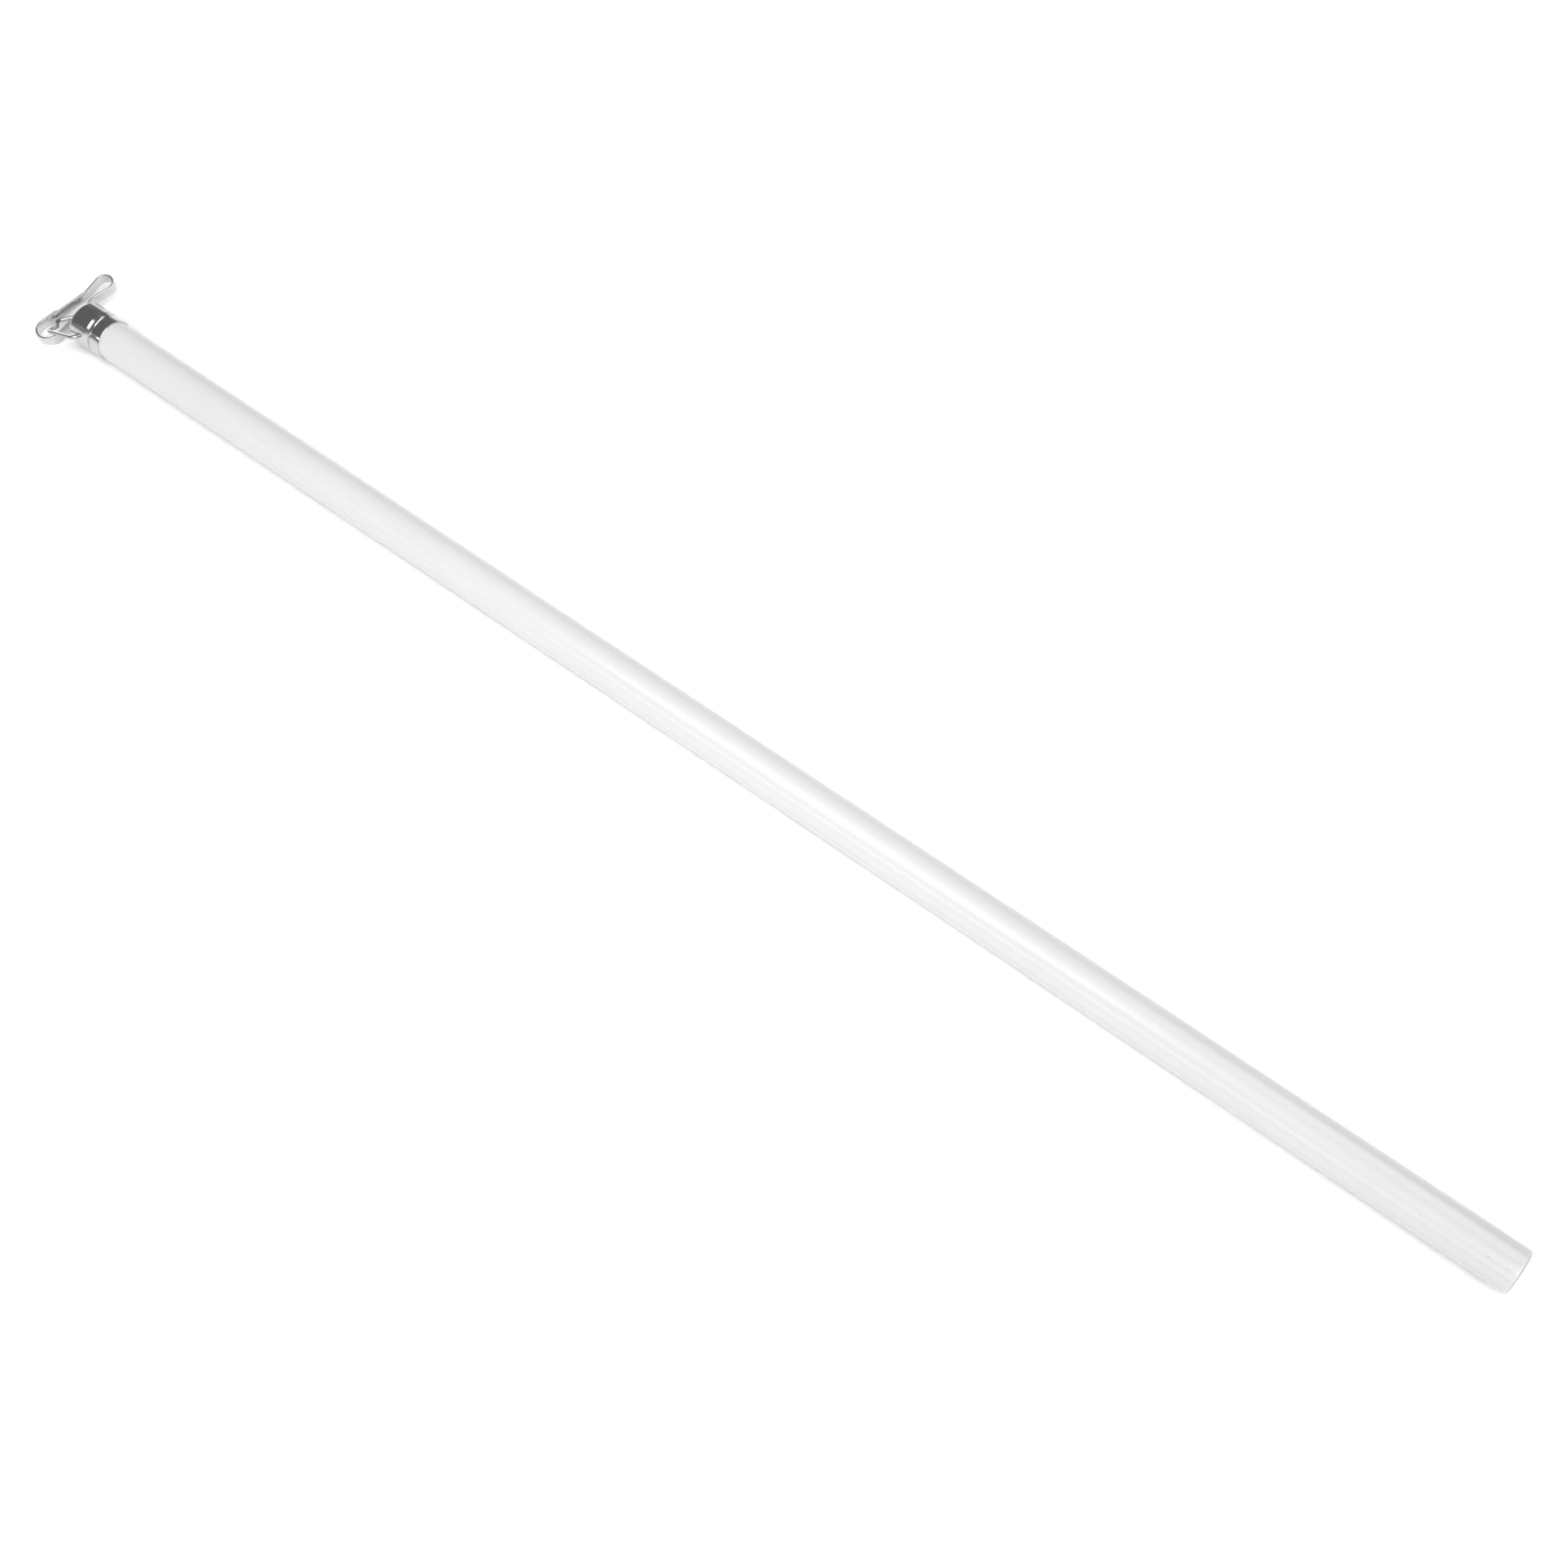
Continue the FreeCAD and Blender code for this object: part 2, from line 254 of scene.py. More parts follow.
# %% Ferrule
FERRULE_CRISP = 16.0
ferrule_rings = turned_rings(ferrule_profile, FERRULE_SEGMENTS, hole_angle)
ferrule_ends = ferrule_rings[0, 0], ferrule_rings[-1, 0]
ferrule_rings = ferrule_rings[1:-1]
outer_row = len(outside_head) - 1 + HOLE_STEPS
inner_row = outer_row + len(outside_block) + len(outside_tail)
core = np.arange(-HOLE_CORE, HOLE_CORE)
stay = np.full(core.size, HOLE_CORE)
loop_i = np.concatenate([-stay, core, stay, -core])
loop_j = np.concatenate([core, stay, -core, -stay])
point_number = np.arange(ferrule_rings.shape[0] * FERRULE_SEGMENTS).reshape(-1, FERRULE_SEGMENTS)
hole_quads = np.zeros((ferrule_rings.shape[0] - 1, FERRULE_SEGMENTS), dtype=bool)
hole_walls = []
for side in (0, 1):
    column = side * FERRULE_SEGMENTS // 2
    angle = hole_angle + side * np.pi
    block_columns = (column + steps) % FERRULE_SEGMENTS
    core_columns = (column + core) % FERRULE_SEGMENTS
    loop_columns = (column + loop_j) % FERRULE_SEGMENTS
    ferrule_rings[outer_row + steps[:, None], block_columns] = hole_block(barrel_radius, angle)
    ferrule_rings[inner_row - steps[:, None], block_columns] = hole_block(bore_radius, angle)
    hole_quads[outer_row + core[:, None], core_columns] = True
    hole_quads[inner_row + core[:, None], core_columns] = True
    outer = point_number[outer_row + loop_i, loop_columns]
    inner = point_number[inner_row - loop_i, loop_columns]
    hole_walls.append(np.stack([outer, np.roll(outer, -1), np.roll(inner, -1), inner], axis=-1))
ferrule = skin("drawn_ferrule", ferrule_rings, *ferrule_ends, FERRULE_CRISP, hole_quads, hole_walls)

# %% [markdown]
# ## Bends along a line
# The bail and the clip are both bent from stock of one section, wire for one and flat strip for the other. A bender
# makes straight runs and round bends, so the path is made the same way. A run is a pair of arrays: its points and
# the heading at each of them.

# %% Run helpers
STRAIGHT_POINTS = 8


def unit(v):
    """The vector divided by its length."""
    return v / np.linalg.norm(v)


def left(v):
    """The flat vector turned a quarter turn to its left."""
    return np.array([-v[1], v[0]])


def turn_between(first, second):
    """Signed angle from one flat vector to another: atan2 of their cross and dot products."""
    return math.atan2(first[0] * second[1] - first[1] * second[0], first @ second)


def bend(centre, start, sweep, count):
    """Arc points and headings: the radius from centre to start turned by a, for a from 0 to sweep, with the
    heading a quarter turn ahead of it. The end is left to the next run."""
    a = np.linspace(0, sweep, count, endpoint=False)[:, None]
    radius = start - centre
    points = centre + np.cos(a) * radius + np.sin(a) * left(radius)
    headings = (np.cos(a) * left(radius) - np.sin(a) * radius) * np.sign(sweep)
    return points, headings / np.linalg.norm(headings, axis=1, keepdims=True)


def straight(start, end):
    """Points at even steps from start to end, all with the same heading. The end is left to the next run."""
    t = np.linspace(0, 1, STRAIGHT_POINTS, endpoint=False)[:, None]
    return start + t * (end - start), np.tile(unit(end - start), (STRAIGHT_POINTS, 1))


half_round = bend(np.zeros(2), np.array([1.0, 0.0]), math.pi, 2)
print("points and headings of a half round", half_round[0].round(2).tolist(), half_round[1].round(2).tolist())

# %% [markdown]
# A bent shape is easiest to plan as a chain of sharp corner points. Each corner is then rounded by the arc that
# touches both of its straight runs, as a bending pin of that radius would leave it.

# %% Corner helpers
CORNER_POINTS = 20


def corner(before, at, after, radius):
    """Tangent arc of a corner: it starts and ends radius times tan(half the turn) away from the corner, and its
    centre is radius to the inner side. Gives the arc's start, its run and its end."""
    into, out = unit(at - before), unit(after - at)
    turn = turn_between(into, out)
    setback = radius * math.tan(abs(turn) / 2)
    start = at - into * setback
    centre = start + left(into) * radius * np.sign(turn)
    return start, bend(centre, start, turn, CORNER_POINTS), at + out * setback


def rounded(points, radii):
    """Runs of a chain of corner points: a straight to each arc, the arc, and a straight to the end."""
    runs, start = [], points[0]
    for before, at, after, radius in zip(points, points[1:], points[2:], radii):
        arc_start, arc, arc_end = corner(before, at, after, radius)
        runs += [straight(start, arc_start), arc]
        start = arc_end
    return runs + [straight(start, points[-1])]


square_corner = np.array([[0.0, 0.0], [4.0, 0.0], [4.0, 4.0]])
print("runs of one rounded corner", [len(run[0]) for run in rounded(square_corner, [1.0])])

# %% [markdown]
# The section is carried along the path, square to it. Cut ends are never quite sharp, so over the last stretch the
# section draws in along a quarter round.

# %% Sweep helper
EASE_RINGS = 5


def sweep(name, runs, end, section, half, ease, axes, origin, crisp=CRISP_ANGLE):
    """Section (a, b) carried along flat runs: point + a times the left normal + b times the plane's normal, then
    set into space by axes and origin. At the ends it draws in by ease times (1 - sin t) while it travels
    ease times (1 - cos t), for t up to a quarter turn."""
    points = np.concatenate([run[0] for run in runs] + [end[None]])
    headings = np.concatenate([run[1] for run in runs] + [runs[-1][1][-1:]])
    ramp = np.linspace(0, np.pi / 2, EASE_RINGS, endpoint=False)
    inset = ease * (1 - np.sin(ramp))
    travel = ease * (1 - np.cos(ramp))
    head = points[0] + travel[:, None] * headings[0]
    tail = points[-1] - travel[::-1, None] * headings[-1]
    points[0] += ease * headings[0]
    points[-1] -= ease * headings[-1]
    shrink = np.concatenate([inset, np.zeros(len(points)), inset[::-1]])
    points = np.concatenate([head, points, tail])
    head_way, tail_way = (np.tile(way, (EASE_RINGS, 1)) for way in (headings[0], headings[-1]))
    headings = np.concatenate([head_way, headings, tail_way])
    scale = 1 - shrink[:, None] / np.array(half)
    a = section[:, 0] * scale[:, :1]
    b = section[:, 1] * scale[:, 1:]
    normal = np.stack([-headings[:, 1], headings[:, 0]], axis=-1)
    flat = points[:, None, :] + a[..., None] * normal[:, None, :]
    rings = np.concatenate([flat, b[..., None]], axis=-1) @ np.array(axes) + origin
    return skin(name, rings, rings[0].mean(axis=0), rings[-1].mean(axis=0), crisp)


print("rings that ease each end", EASE_RINGS)

# %% [markdown]
# ## The bail
# One piece of round wire: two pins turned into the ferrule's holes, two arms, two shoulders and a narrow nose that
# leans a little to one side. Its plane holds the pivot line and droops until the lower shoulder meets the table.
# The slope depends on the bend at the shoulder, which depends on the slope, so it is found in a few steps, as in
# the solids.

# %% Droop of the bail
ARM_CLEARANCE = 1.1
SHOULDER_REACH = 12.4
SHOULDER_BEND = 1.3
GROUND_CLEARANCE = 0.02
DROOP_STEPS = 20
roll = math.asin(across[2])
sideways = np.array([0, -math.sin(roll), -math.cos(roll)])
arm_offset = barrel_radius + ARM_CLEARANCE + WIRE_RADIUS
bend_drop = barrel_radius - (arm_offset - SHOULDER_BEND) * math.sin(roll) - WIRE_RADIUS - GROUND_CLEARANCE
droop = 0.0
for _ in range(DROOP_STEPS):
    steepness = math.hypot(math.sin(droop) * math.cos(roll), math.sin(roll))
    rise = (bend_drop - SHOULDER_BEND * steepness) / ((SHOULDER_REACH - SHOULDER_BEND) * math.cos(roll))
    droop = math.asin(rise)
along = np.array([-math.cos(droop), 0, 0]) + sideways * math.sin(droop)
print("droop of the bail", round(math.degrees(droop), 2), "degrees")

# %% Bail
PIN_REACH = 1.2
NECK_HALF_WIDTH = 4.6
NOSE_REACH = 15.9
NOSE_LEAN = 1.4
ROOT_BEND = 1.6
NECK_BEND = 1.0
NOSE_BEND = 1.3
WIRE_SEGMENTS = 40
WIRE_EASE = 0.15
pin_end = bore_radius - PIN_REACH
flank = math.atan2(NECK_HALF_WIDTH, NOSE_REACH - SHOULDER_REACH)
nose_vertex = NOSE_REACH + NOSE_BEND * (1 / math.sin(flank) - 1)
bail_corners = np.array([
    [0, pin_end], [0, arm_offset], [SHOULDER_REACH, arm_offset], [SHOULDER_REACH, NECK_HALF_WIDTH],
    [nose_vertex, NOSE_LEAN],
    [SHOULDER_REACH, -NECK_HALF_WIDTH], [SHOULDER_REACH, -arm_offset], [0, -arm_offset], [0, -pin_end],
])
bail_bends = [ROOT_BEND, SHOULDER_BEND, NECK_BEND, NOSE_BEND, NECK_BEND, SHOULDER_BEND, ROOT_BEND]
turn = np.linspace(0, 2 * np.pi, WIRE_SEGMENTS, endpoint=False)
wire = WIRE_RADIUS * np.stack([np.cos(turn), np.sin(turn)], axis=-1)
bail_axes = [along, across, np.cross(along, across)]
bail = sweep("wire_bail", rounded(bail_corners, bail_bends), bail_corners[-1], wire,
             (WIRE_RADIUS, WIRE_RADIUS), WIRE_EASE, bail_axes, pivot)

# %% [markdown]
# ## The clip
# Spring-steel strip stands on edge and is bent round a large lobe, past a waist, round a small lobe and back. Its
# two ends lap on the far side: the inner one is the gate, which is pressed in to hook the clip onto a carrier. The
# straight strands touch the lobes without a kink, so their ends are worked out as touching points.

# %% Lobe helpers
LOBE_POINTS = 72


def touch(point, centre, radius, side):
    """Where a line from a point touches a circle: the radius at an angle of acos(radius / distance) to the line
    from the centre to the point, on the side given."""
    reach = point - centre
    a = side * math.acos(radius / np.linalg.norm(reach))
    ahead = unit(reach)
    return centre + radius * (math.cos(a) * ahead + math.sin(a) * left(ahead))


def lobe(start, centre, end):
    """Arc of a lobe the long way round from start to end, turning right."""
    turned = turn_between(start - centre, end - centre)
    return bend(centre, start, turned % (2 * math.pi) - 2 * math.pi, LOBE_POINTS)


print("from (2, 0) a line touches the unit circle at", touch(np.array([2.0, 0.0]), np.zeros(2), 1.0, 1).round(2))

# %% Strands of the clip
STRIP_THICKNESS = 0.5
LAP_CLEARANCE = 0.1
LARGE_RADIUS = 3.85
WAIST_FROM_END = 20.0
WAIST_GAP = 3.1
GATE_END = 6.0
CATCH_END = 9.6
lap = STRIP_THICKNESS + LAP_CLEARANCE
large_centre = np.array([LARGE_RADIUS, 0.0])
waist_near = np.array([WAIST_FROM_END, -(WAIST_GAP + STRIP_THICKNESS + lap) / 2])
large_near = touch(waist_near, large_centre, LARGE_RADIUS, -1)
large_far = large_near * [1, -1]
strand = unit(waist_near - large_near)
gate_heading = strand * [1, -1]
gate_inset = -left(gate_heading) * lap


def far_side(distance, inset):
    """Point of the far strand at a distance along the clip, moved inwards."""
    return large_far + gate_heading * (distance - large_far[0]) / gate_heading[0] + inset


gate_tip = far_side(GATE_END, gate_inset)
waist_far = far_side(WAIST_FROM_END, gate_inset)
catch_tip = far_side(CATCH_END, np.zeros(2))
print("gate tip", gate_tip.round(2), "catch tip", catch_tip.round(2))

# %% Outline of the clip
CLIP_LENGTH = 29.0
SMALL_RADIUS = 2.8
WAIST_BEND = 1.2
small_run = CLIP_LENGTH - STRIP_THICKNESS - SMALL_RADIUS - WAIST_FROM_END
small_centre = (waist_far + waist_near) / 2 + [small_run, 0]
small_far = touch(waist_far, small_centre, SMALL_RADIUS, -1)
small_near = touch(waist_near, small_centre, SMALL_RADIUS, 1)
clip_runs = rounded(np.array([gate_tip, waist_far, small_far]), [WAIST_BEND])
clip_runs += [lobe(small_far, small_centre, small_near)]
clip_runs += rounded(np.array([small_near, waist_near, large_near]), [WAIST_BEND])
clip_runs += [lobe(large_near, large_centre, large_far), straight(large_far, catch_tip)]
print("runs of the clip", len(clip_runs), "waist", waist_near.round(2), waist_far.round(2))

# %% [markdown]
# The section is a flat strip with eased corners. The record knows the line that the clip turns about, along the
# near strand, and the direction its strip stands in, so these two set the outline into space.

# %% Clip
STRIP_WIDTH = 3.2
EDGE_EASE = 0.12
EDGE_POINTS = 6
STRIP_EASE = 0.1
STRIP_CRISP = 50.0
STRAND_CROSSING = 10.9
half_strip = np.array([STRIP_THICKNESS, STRIP_WIDTH]) / 2
edge_turn = np.linspace(0, np.pi / 2, EDGE_POINTS)
corner_angles = (np.arange(4)[:, None] * np.pi / 2 + edge_turn).ravel()
corner_signs = np.repeat([[1, 1], [-1, 1], [-1, -1], [1, -1]], EDGE_POINTS, axis=0)
strip = corner_signs * (half_strip - EDGE_EASE)
strip = strip + EDGE_EASE * np.stack([np.cos(corner_angles), np.sin(corner_angles)], axis=-1)

strand_place = np.array(joints["clip_turn"]["pos_m"]) / MM
strand_axis = np.array(joints["clip_turn"]["axis"])
clip_normal = np.array(record["mounts"][0]["axis"])
strand_side = np.cross(clip_normal, strand_axis)
clip_x = strand[0] * strand_axis - strand[1] * strand_side
clip_y = strand[1] * strand_axis + strand[0] * strand_side
strand_flat = large_near + strand * (STRAND_CROSSING - large_near[0])
clip_origin = strand_place - strand_flat @ np.array([clip_x, clip_y]) + clip_normal * half_strip[1]
clip = sweep("strip_clip", clip_runs, catch_tip, strip, half_strip, STRIP_EASE,
             [clip_x, clip_y, clip_normal], clip_origin, STRIP_CRISP)

# %% [markdown]
# ## Each skin stands for its solid
# A skin replaces the solid of its node in the picture and rides on the same body, so the bail and the clip still
# turn. The skin's box is set beside the solid's box to show that nothing moved.

# %% Ride
for piece, node, body, slot in (
    (rod, "rod", "wand", "rod"), (ferrule, "ferrule", "wand", "ferrule"),
    (bail, "bail", "bail", "wire"), (clip, "clip", "clip", "strip"),
):
    low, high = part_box(node)
    points = np.empty((len(piece.data.vertices), 3), dtype=np.float32)
    piece.data.vertices.foreach_get("co", points.ravel())
    low_gap, high_gap = (points.min(axis=0) - low) / MM, (points.max(axis=0) - high) / MM
    print(node, "off by", low_gap.round(3), high_gap.round(3))
    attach(piece, body)
    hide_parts(node)

# %% [markdown]
# ## Shared effects
# Two effects serve several finishes. One is a soft cloudiness at two scales, which keeps a plain colour from
# looking dead. The other is fine lines drawn out along one direction, as a die or a roller leaves them. Both are
# node groups that read Object coordinates and put out plain values.

# %% Node groups
CLOUD_DETAIL = 3.0
LINE_DETAIL = 2.0


def noise_group(name, detail, outputs):
    """A shader node group that reads one vector and gives, for each output name, noise of its own scale."""
    group = bpy.data.node_groups.new(name, "ShaderNodeTree")
    group.interface.new_socket("Vector", in_out="INPUT", socket_type="NodeSocketVector")
    for output in outputs:
        group.interface.new_socket(output + " scale", in_out="INPUT", socket_type="NodeSocketFloat")
        group.interface.new_socket(output, in_out="OUTPUT", socket_type="NodeSocketFloat")
    source, result = group.nodes.new("NodeGroupInput"), group.nodes.new("NodeGroupOutput")
    for output in outputs:
        noise = group.nodes.new("ShaderNodeTexNoise")
        noise.inputs["Detail"].default_value = detail
        group.links.new(source.outputs["Vector"], noise.inputs["Vector"])
        group.links.new(source.outputs[output + " scale"], noise.inputs["Scale"])
        group.links.new(noise.outputs["Fac"], result.inputs[output])
    return group


cloud = noise_group("cloudiness", CLOUD_DETAIL, ("Broad", "Fine"))
drawn = noise_group("drawn_lines", LINE_DETAIL, ("Lines",))
print("groups", [group.name for group in bpy.data.node_groups])

# %% [markdown]
# A material is a small web of nodes. These helpers start one, place a shared group in it, and stretch its
# coordinates so that noise turns into lines.

# %% Material helpers
def new_material(name):
    """A material with its Principled shader and an Object coordinate source."""
    material = bpy.data.materials.new(name)
    material.use_nodes = True
    shader = material.node_tree.nodes["Principled BSDF"]
    place = material.node_tree.nodes.new("ShaderNodeTexCoord")
    return material, material.node_tree, shader, place.outputs["Object"]


def use_group(tree, group, vector, **values):
    """Places a group in a material, fed by a vector, with its own values."""
    node = tree.nodes.new("ShaderNodeGroup")
    node.node_tree = group
    tree.links.new(vector, node.inputs["Vector"])
    for label, value in values.items():
        node.inputs[label.replace("_", " ")].default_value = value
    return node


def stretch(tree, vector, scale):
    """Object coordinates scaled by a different amount along each axis."""
    node = tree.nodes.new("ShaderNodeMapping")
    node.inputs["Scale"].default_value = scale
    tree.links.new(vector, node.inputs["Vector"])
    return node.outputs["Vector"]


print("materials so far", len(bpy.data.materials))

# %% [markdown]
# Noise runs from 0 to 1 but keeps mostly to the middle. The next helpers spread that middle over the range that a
# finish needs, mix two colours by a mask, and turn a value into a bump of real height.

# %% Value and colour helpers
NOISE_LOW, NOISE_HIGH = 0.3, 0.7
MIX_FACTOR, MIX_FIRST, MIX_SECOND, MIX_RESULT = 0, 6, 7, 2


def map_range(tree, source, low, high, start, end):
    """A node whose result goes from start to end as the source goes from low to high."""
    node = tree.nodes.new("ShaderNodeMapRange")
    for label, value in (("From Min", low), ("From Max", high), ("To Min", start), ("To Max", end)):
        node.inputs[label].default_value = value
    tree.links.new(source, node.inputs["Value"])
    return node


def spread(tree, noise, start, end):
    """A value from start to end over the middle of a noise, where nearly all of it lies."""
    return map_range(tree, noise, NOISE_LOW, NOISE_HIGH, start, end).outputs["Result"]


def mix_colour(tree, factor, first, second):
    """Two colours mixed by a mask; a colour may be a fixed triple or another node's output."""
    node = tree.nodes.new("ShaderNodeMix")
    node.data_type = "RGBA"
    tree.links.new(factor, node.inputs[MIX_FACTOR])
    for socket, colour in ((node.inputs[MIX_FIRST], first), (node.inputs[MIX_SECOND], second)):
        if isinstance(colour, tuple):
            socket.default_value = (*colour, 1.0)
        else:
            tree.links.new(colour, socket)
    return node.outputs[MIX_RESULT]


def add_bump(tree, shader, height, distance, strength):
    """A bump of real height under the shader's normal."""
    node = tree.nodes.new("ShaderNodeBump")
    node.inputs["Distance"].default_value = distance
    node.inputs["Strength"].default_value = strength
    tree.links.new(height, node.inputs["Height"])
    tree.links.new(node.outputs["Normal"], shader.inputs["Normal"])


print("noise is spread from", NOISE_LOW, "to", NOISE_HIGH)

# %% [markdown]
# ## White rod
# The rod is glossy white plastic. Close up it isn't quite even: broad clouds of a slightly warmer white, faint
# lines along its length from the die, and a few dark specks near the tail, which the photo shows. The specks are
# measured places on the rod, so each is a small mask around its own point.

# %% Specks
SPECKS = (
    # distance from the tail, angle round the rod, radius, strength
    (37.8, 69.2, 0.30, 0.25), (25.2, 126.7, 0.28, 0.30), (7.9, 123.3, 0.30, 0.75), (3.1, 123.0, 0.34, 0.35),
)


def distance_from(tree, vector, point):
    """Distance in metres of each place on the surface from one fixed point, which is given in millimetres."""
    node = tree.nodes.new("ShaderNodeVectorMath")
    node.operation = "DISTANCE"
    node.inputs[1].default_value = point * MM
    tree.links.new(vector, node.inputs[0])
    return node.outputs["Value"]


def speck_mask(tree, vector, from_tail, angle, radius, strength):
    """Mask of one speck: full strength at its place on the rod, fading to nothing at its radius."""
    centre = around_axis(rod_end - from_tail, ROD_RADIUS, math.radians(angle))
    away = distance_from(tree, vector, centre)
    return map_range(tree, away, 0.0, radius * MM, strength, 0.0).outputs["Result"]


print("specks on the rod", len(SPECKS))

# %% [markdown]
# The rod was sawn to length, and the edge at the tail shows a thin dark line along it. The line is painted shade:
# the colour is darkened where the edge is in shade. Every point of the edge's round has its own distance from the
# middle of the end, so a band of that distance, stronger and weaker with the broad clouds, marks the line and
# leaves the end itself clean.

# %% Painted shade on the cut edge
# Band and strength of the painted shade line along the tail's cut edge.
SHADE_LINE_BAND = (5.2, 5.3, 5.68, 5.88)
SHADE_LINE_STRENGTH = (0.5, 0.85)


def product(tree, first, second):
    """Two values multiplied."""
    node = tree.nodes.new("ShaderNodeMath")
    node.operation = "MULTIPLY"
    tree.links.new(first, node.inputs[0])
    tree.links.new(second, node.inputs[1])
    return node.outputs["Value"]


def painted_edge_shade_mask(tree, vector, noise):
    """Mask of the painted shade line on the cut edge: full between the inner two distances of the band, nothing
    outside the outer two.
    """
    away = distance_from(tree, vector, around_axis(rod_end, 0.0, 0.0))
    inner_start, inner_full, outer_full, outer_end = (distance * MM for distance in SHADE_LINE_BAND)
    grow = map_range(tree, away, inner_start, inner_full, 0.0, 1.0).outputs["Result"]
    fade = map_range(tree, away, outer_full, outer_end, 1.0, 0.0).outputs["Result"]
    return product(tree, product(tree, grow, fade), spread(tree, noise, *SHADE_LINE_STRENGTH))


print("cut edge from", SHADE_LINE_BAND[0], "to", SHADE_LINE_BAND[-1], "mm from the middle of the end")

# %% Rod finish
MICRON = 0.000001
WARM_WHITE, CLEAN_WHITE = (0.603, 0.603, 0.6), (0.63, 0.63, 0.63)
DIE_TINT, DIE_SHARE = (0.59, 0.59, 0.587), 0.15
# This dark tint colours the real specks and also the painted shade line on the tail's cut edge.
DIRT_AND_SHADE_TINT = (0.16, 0.16, 0.155)
ALONG_ROD = (0.02, 1.0, 1.0)
DIE_BUMP = 0.1
PLASTIC_IOR = 1.49
white, tree, shader, place = new_material("gloss_white")
clouds = use_group(tree, cloud, place, Broad_scale=45.0, Fine_scale=1400.0)
die = use_group(tree, drawn, stretch(tree, place, ALONG_ROD), Lines_scale=2600.0)
base = mix_colour(tree, clouds.outputs["Broad"], WARM_WHITE, CLEAN_WHITE)
base = mix_colour(tree, spread(tree, die.outputs["Lines"], 0.0, DIE_SHARE), base, DIE_TINT)
for speck in SPECKS:
    base = mix_colour(tree, speck_mask(tree, place, *speck), base, DIRT_AND_SHADE_TINT)
# Painted shade: a thin dark line mixed into the colour along the tail's cut edge.
base = mix_colour(tree, painted_edge_shade_mask(tree, place, clouds.outputs["Broad"]), base, DIRT_AND_SHADE_TINT)
tree.links.new(base, shader.inputs["Base Color"])
tree.links.new(spread(tree, clouds.outputs["Fine"], 0.20, 0.23), shader.inputs["Roughness"])
add_bump(tree, shader, die.outputs["Lines"], 2 * MICRON, DIE_BUMP)
shader.inputs["IOR"].default_value = PLASTIC_IOR
rod.data.materials.append(white)
print("rod finish", white.name, "nodes", len(tree.nodes))

# %% [markdown]
# ## Bright metal
# The ferrule and the bail are plated bright; the clip is bare spring steel, a little duller, with its rolling lines
# along the strip. A mirror shows what is around it, so most of the look comes from the table and the lights. The
# finish only adds a faint haze and lines that blur the reflections in one direction.

# %% Metal finishes
METAL_BUMP = 0.3


def metal(name, tones, roughness, line_stretch, line_scale, height):
    """Metal with cloudy tone, cloudy roughness and drawn lines in its bump."""
    material, tree, shader, place = new_material(name)
    haze = use_group(tree, cloud, place, Broad_scale=260.0, Fine_scale=2200.0)
    rolled = use_group(tree, drawn, stretch(tree, place, line_stretch), Lines_scale=line_scale)
    tree.links.new(mix_colour(tree, haze.outputs["Broad"], *tones), shader.inputs["Base Color"])
    tree.links.new(spread(tree, haze.outputs["Fine"], *roughness), shader.inputs["Roughness"])
    add_bump(tree, shader, rolled.outputs["Lines"], height, METAL_BUMP)
    shader.inputs["Metallic"].default_value = 1.0
    print("metal finish", name, "nodes", len(tree.nodes))
    return material


ferrule.data.materials.append(metal(
    "bright_ferrule", tones=((0.56, 0.56, 0.565), (0.62, 0.62, 0.625)), roughness=(0.10, 0.17),
    line_stretch=(1.0, 0.05, 0.05), line_scale=3000.0, height=4 * MICRON))
bail.data.materials.append(metal(
    "bright_wire", tones=((0.38, 0.38, 0.385), (0.44, 0.44, 0.445)), roughness=(0.09, 0.14),
    line_stretch=(0.2, 1.0, 1.0), line_scale=3000.0, height=2 * MICRON))
clip.data.materials.append(metal(
    "spring_strip", tones=((0.60, 0.60, 0.605), (0.65, 0.65, 0.65)), roughness=(0.20, 0.27),
    line_stretch=(1.0, 0.06, 1.0), line_scale=3600.0, height=2 * MICRON))

# %% [markdown]
# ## Table
# The photo is a product shot on a white table with hardly a shadow. One pale, matt plane gives that. It reaches far
# enough that its edge is lost at the horizon in a low view.

# %% Table
TABLE_HALF = 40.0
TABLE_TONES = (0.94, 0.94, 0.94), (0.95, 0.95, 0.95)
TABLE_ROUGHNESS = 0.9
TABLE_GLOSS = 0.1
floor_mesh = bpy.data.meshes.new("table")
floor_corners = np.array([[-1, -1, 0], [1, -1, 0], [1, 1, 0], [-1, 1, 0]]) * TABLE_HALF
floor_mesh.from_pydata(floor_corners.tolist(), [], [(0, 1, 2, 3)])
floor = bpy.data.objects.new("table", floor_mesh)
bpy.context.collection.objects.link(floor)
table_white, tree, shader, place = new_material("pale_table")
grain = use_group(tree, cloud, place, Broad_scale=3.0, Fine_scale=60.0)
tree.links.new(mix_colour(tree, grain.outputs["Broad"], *TABLE_TONES), shader.inputs["Base Color"])
shader.inputs["Roughness"].default_value = TABLE_ROUGHNESS
shader.inputs["Specular IOR Level"].default_value = TABLE_GLOSS
floor_mesh.materials.append(table_white)
print("table", 2 * TABLE_HALF, "metres wide")

# %% [markdown]
# ## Room
# Bright metal is as dark as the room that it mirrors, and the photo's ferrule is dark grey, so the room is dim
# overhead. Towards the horizon it grows as bright as the far table, so that the two meet without a line.

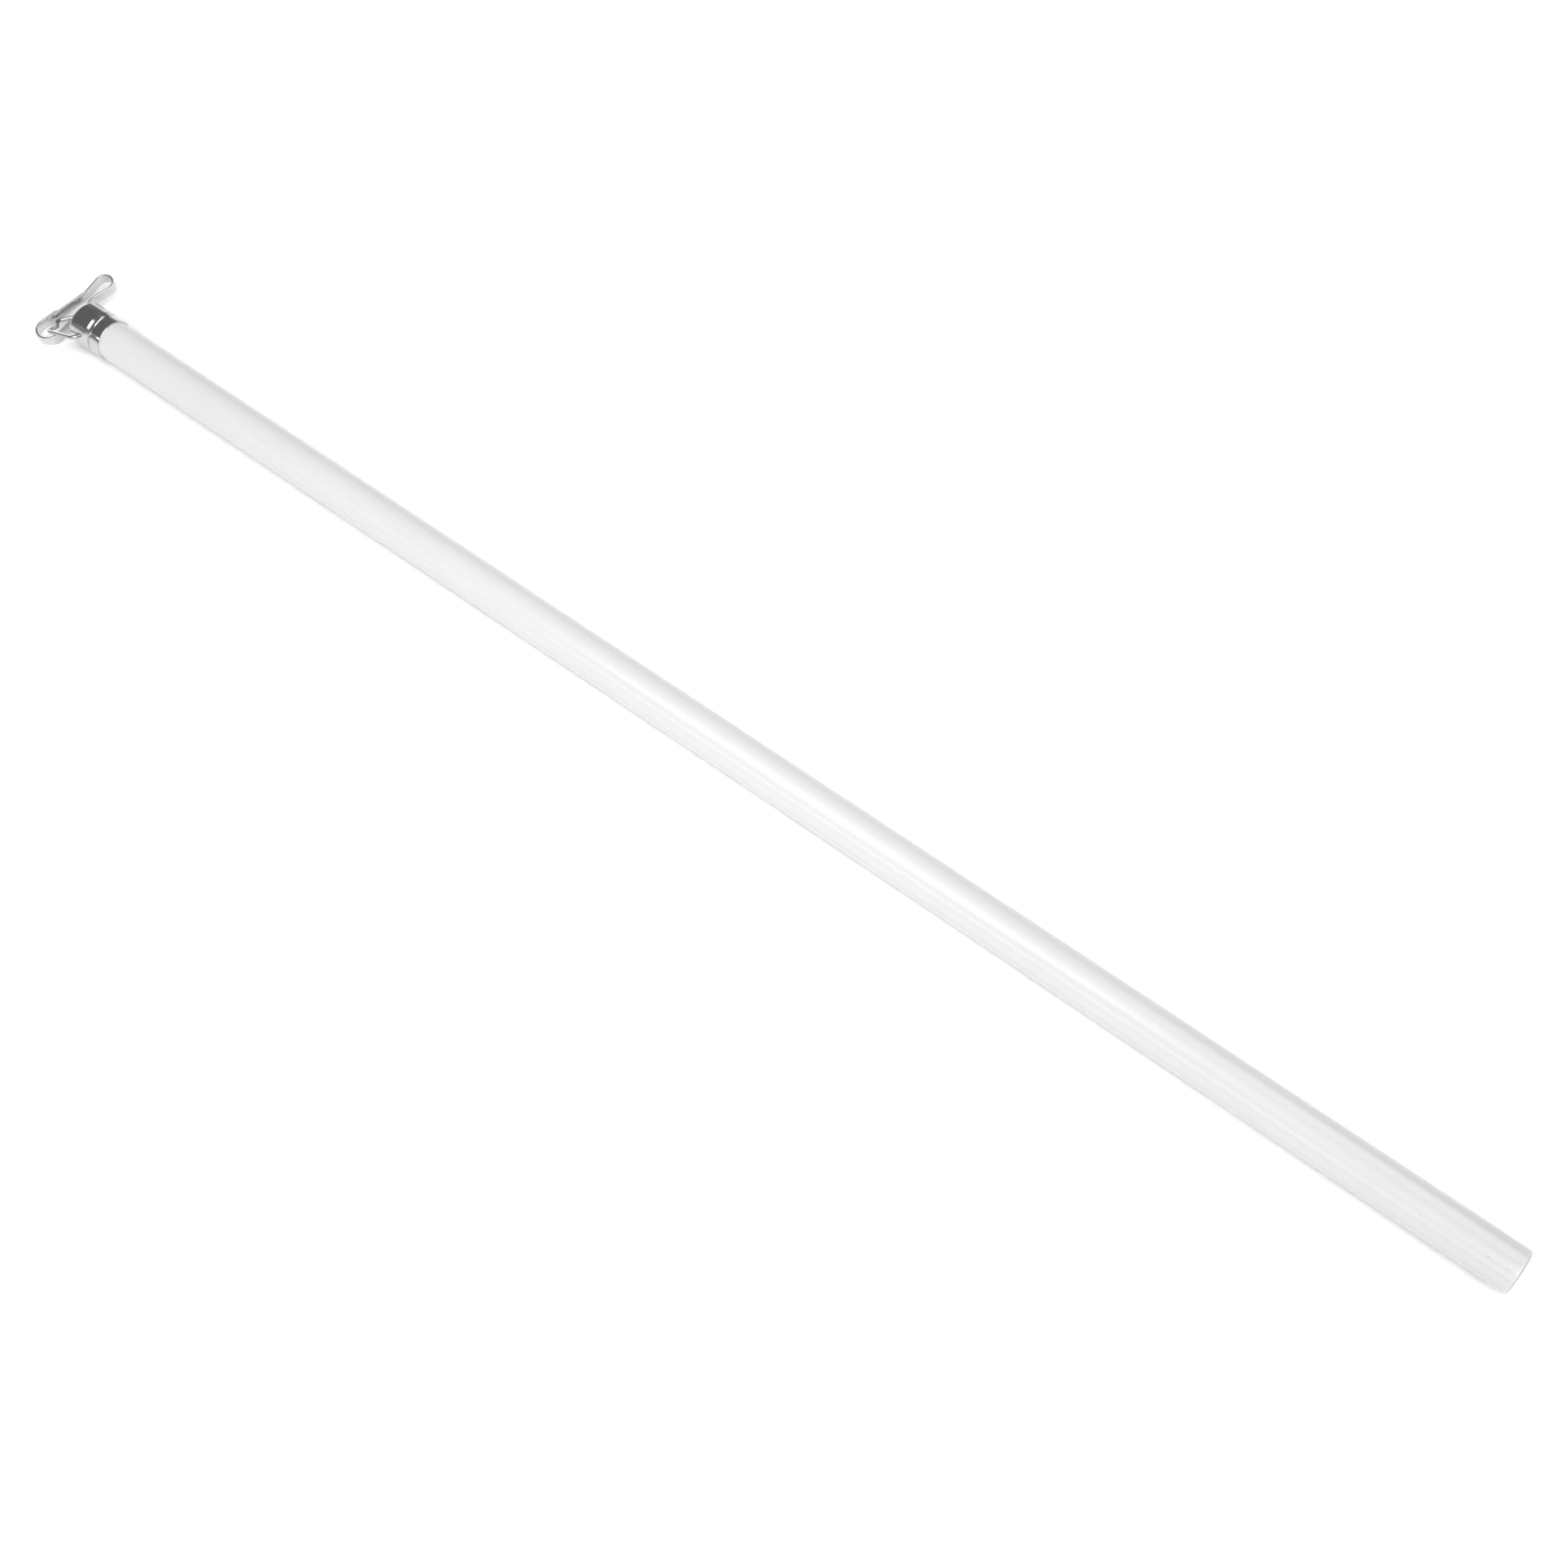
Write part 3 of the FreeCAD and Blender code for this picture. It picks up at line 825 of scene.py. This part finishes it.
# %% Room
HORIZON = 0.75
ROOM = 0.17
HORIZON_RISE = 0.22
world = bpy.data.worlds.new("studio_room")
world.use_nodes = True
room = world.node_tree
direction = room.nodes.new("ShaderNodeTexCoord")
split = room.nodes.new("ShaderNodeSeparateXYZ")
room.links.new(direction.outputs["Generated"], split.inputs["Vector"])
height = map_range(room, split.outputs["Z"], 0.0, HORIZON_RISE, HORIZON, ROOM)
height.interpolation_type = "SMOOTHSTEP"
room.links.new(height.outputs["Result"], room.nodes["Background"].inputs["Color"])
bpy.context.scene.world = world
print("room from", HORIZON, "at the horizon to", ROOM, "overhead")

# %% [markdown]
# ## Lamps
# A wide soft sun lights the whole table evenly. It stands towards the tail, where the rod doesn't mirror it into
# the camera. The overhead lamp and the pool lamp brighten the rod's middle, as in the photo. A strip lamp on the
# near side draws a thin bright line along the rod, a card beyond the head lights the ferrule's groove, and a far
# lamp lightens the rod's far edge.

# %% Sun
def hang(name, kind, power, place, way):
    """A lamp of one kind at a place, with its beam along the way given."""
    light = bpy.data.lights.new(name, kind)
    light.energy = power
    lamp = bpy.data.objects.new(name, light)
    lamp.location = place
    lamp.rotation_euler = mathutils.Vector(way).to_track_quat("-Z", "Y").to_euler()
    bpy.context.collection.objects.link(lamp)
    return light


SUN_POWER = 2.5
SUN_WIDTH = 60.0
SUN_WAY = (-0.55, 0.35, -0.76)
sun = hang("ceiling_glow", "SUN", SUN_POWER, (0.0, 0.0, 0.0), SUN_WAY)
sun.angle = math.radians(SUN_WIDTH)
print("sun", SUN_WIDTH, "degrees wide")

# %% Lamps
AREA_LAMPS = (
    # name, place, aim, width and height in metres, watts
    ("overhead_lamp", (-0.14, -0.08, 0.8), (-0.14, 0.0, 0.0), (0.45, 0.45), 1.4),
    ("near_strip_lamp", (-0.45, -1.5, 0.71), (-0.45, 0.0, 0.0), (2.0, 0.2), 4.8),
    ("head_card", (-1.6, 0.5, 0.3), (-0.2, 0.0, 0.02), (1.2, 0.5), 5.5),
    ("far_side_lamp", (0.5, 1.1, 1.4), (0.1, 0.0, 0.0), (1.2, 1.2), 8.0),
)
for name, stand, aim, size, power in AREA_LAMPS:
    panel = hang(name, "AREA", power, stand, np.subtract(aim, stand))
    panel.shape = "RECTANGLE"
    panel.size, panel.size_y = size

POOL_PLACE, POOL_AIM = (-0.4, -0.6, 1.5), (0.06, 0.0, 0.0)
POOL_POWER = 34.0
POOL_CONE = 20.0
POOL_RADIUS = 0.2
pool = hang("middle_pool", "SPOT", POOL_POWER, POOL_PLACE, np.subtract(POOL_AIM, POOL_PLACE))
pool.spot_size = math.radians(POOL_CONE)
pool.spot_blend = 1.0
pool.shadow_soft_size = POOL_RADIUS

# %% [markdown]
# ## Camera
# The camera was fitted to the rod's outline in the photo: a level camera with a 50 mm lens on a 36 mm frame. Its
# place is in millimetres, and three unit vectors give its right, its down and the way it looks.

# %% Camera
LENS = 50.05
SENSOR = 36.0
NEAREST = 0.01
camera_place = np.array([214.938, -237.664, 492.577])
right = np.array([0.78922, 0.61411, 0.0])
down = np.array([0.52388, -0.67327, -0.52178])
ahead = np.array([-0.32043, 0.4118, -0.85308])
camera_data = bpy.data.cameras.new("photo_camera")
camera_data.lens = LENS
camera_data.sensor_width = SENSOR
camera_data.clip_start = NEAREST
camera = bpy.data.objects.new("photo_camera", camera_data)
bpy.context.collection.objects.link(camera)
turned = np.eye(4)
turned[:3, :3] = np.stack([right, -down, -ahead], axis=1)
turned[:3, 3] = camera_place * MM
camera.matrix_world = mathutils.Matrix(turned)
bpy.context.scene.camera = camera
bpy.context.scene.view_settings.view_transform = "Standard"
print("camera at", (camera_place * MM).round(4))
